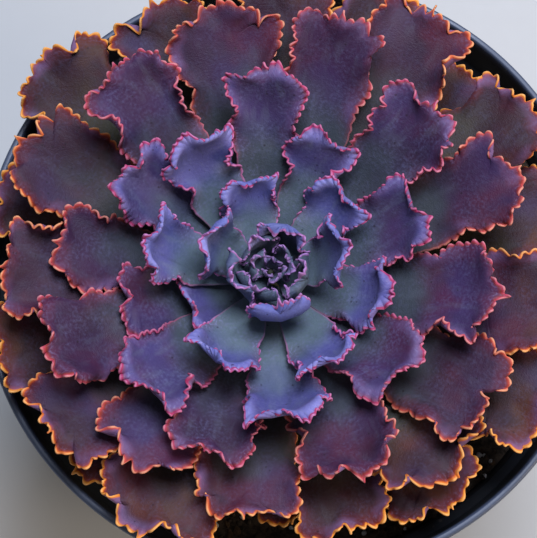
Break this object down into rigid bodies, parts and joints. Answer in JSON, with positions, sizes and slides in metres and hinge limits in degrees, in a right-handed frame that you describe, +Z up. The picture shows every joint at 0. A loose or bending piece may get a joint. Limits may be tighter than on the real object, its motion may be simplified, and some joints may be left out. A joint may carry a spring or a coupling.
{
  "type": "potted echeveria",
  "caption": "Ruffled echeveria rosette of nested succulent leaves on a short stem, growing in soil in a round tapered nursery pot with a stepped rim.",
  "frame": {"origin": "centre of the pot's flat underside", "axes": "+Z up along the pot's axis, -Y towards the side nearest the picture's camera, +X to that camera's right"},
  "size_m": [0.2, 0.2, 0.1904],
  "materials": {
    "pot": "satin black",
    "soil": "rough potting mix",
    "stem": "waxy plant tissue",
    "leaf_01": "waxy succulent leaf",
    "leaf_02": "waxy succulent leaf",
    "leaf_03": "waxy succulent leaf",
    "leaf_04": "waxy succulent leaf",
    "leaf_05": "waxy succulent leaf",
    "leaf_06": "waxy succulent leaf",
    "leaf_07": "waxy succulent leaf",
    "leaf_08": "waxy succulent leaf",
    "leaf_09": "waxy succulent leaf",
    "leaf_10": "waxy succulent leaf",
    "leaf_11": "waxy succulent leaf",
    "leaf_12": "waxy succulent leaf",
    "leaf_13": "waxy succulent leaf",
    "leaf_14": "waxy succulent leaf",
    "leaf_15": "waxy succulent leaf",
    "leaf_16": "waxy succulent leaf",
    "leaf_17": "waxy succulent leaf",
    "leaf_18": "waxy succulent leaf",
    "leaf_19": "waxy succulent leaf",
    "leaf_20": "waxy succulent leaf",
    "leaf_21": "waxy succulent leaf",
    "leaf_22": "waxy succulent leaf",
    "leaf_23": "waxy succulent leaf",
    "leaf_24": "waxy succulent leaf",
    "leaf_25": "waxy succulent leaf",
    "leaf_26": "waxy succulent leaf",
    "leaf_27": "waxy succulent leaf",
    "leaf_28": "waxy succulent leaf",
    "leaf_29": "waxy succulent leaf",
    "leaf_30": "waxy succulent leaf",
    "leaf_31": "waxy succulent leaf",
    "leaf_32": "waxy succulent leaf",
    "leaf_33": "waxy succulent leaf",
    "leaf_34": "waxy succulent leaf",
    "leaf_35": "waxy succulent leaf",
    "leaf_36": "waxy succulent leaf",
    "leaf_37": "waxy succulent leaf",
    "leaf_38": "waxy succulent leaf",
    "leaf_39": "waxy succulent leaf",
    "leaf_40": "waxy succulent leaf",
    "leaf_41": "waxy succulent leaf",
    "leaf_42": "waxy succulent leaf",
    "leaf_43": "waxy succulent leaf",
    "leaf_44": "waxy succulent leaf",
    "leaf_45": "waxy succulent leaf",
    "leaf_46": "waxy succulent leaf",
    "leaf_47": "waxy succulent leaf",
    "leaf_48": "waxy succulent leaf",
    "leaf_49": "waxy succulent leaf",
    "leaf_50": "waxy succulent leaf",
    "leaf_51": "waxy succulent leaf",
    "leaf_52": "waxy succulent leaf",
    "leaf_53": "waxy succulent leaf",
    "leaf_54": "waxy succulent leaf",
    "leaf_55": "waxy succulent leaf",
    "leaf_56": "waxy succulent leaf",
    "leaf_57": "waxy succulent leaf"
  },
  "bodies": {
    "root": {"pot": "pot", "soil": "soil", "stem": "stem", "leaf_01": "leaf_01", "leaf_02": "leaf_02", "leaf_03": "leaf_03", "leaf_04": "leaf_04", "leaf_05": "leaf_05", "leaf_06": "leaf_06", "leaf_07": "leaf_07", "leaf_08": "leaf_08", "leaf_09": "leaf_09", "leaf_10": "leaf_10", "leaf_11": "leaf_11", "leaf_12": "leaf_12", "leaf_13": "leaf_13", "leaf_14": "leaf_14", "leaf_15": "leaf_15", "leaf_16": "leaf_16", "leaf_17": "leaf_17", "leaf_18": "leaf_18", "leaf_19": "leaf_19", "leaf_20": "leaf_20", "leaf_21": "leaf_21", "leaf_22": "leaf_22", "leaf_23": "leaf_23", "leaf_24": "leaf_24", "leaf_25": "leaf_25", "leaf_26": "leaf_26", "leaf_27": "leaf_27", "leaf_28": "leaf_28", "leaf_29": "leaf_29", "leaf_30": "leaf_30", "leaf_31": "leaf_31", "leaf_32": "leaf_32", "leaf_33": "leaf_33", "leaf_34": "leaf_34", "leaf_35": "leaf_35", "leaf_36": "leaf_36", "leaf_37": "leaf_37", "leaf_38": "leaf_38", "leaf_39": "leaf_39", "leaf_40": "leaf_40", "leaf_41": "leaf_41", "leaf_42": "leaf_42", "leaf_43": "leaf_43", "leaf_44": "leaf_44", "leaf_45": "leaf_45", "leaf_46": "leaf_46", "leaf_47": "leaf_47", "leaf_48": "leaf_48", "leaf_49": "leaf_49", "leaf_50": "leaf_50", "leaf_51": "leaf_51", "leaf_52": "leaf_52", "leaf_53": "leaf_53", "leaf_54": "leaf_54", "leaf_55": "leaf_55", "leaf_56": "leaf_56", "leaf_57": "leaf_57"}
  },
  "joints": []
}
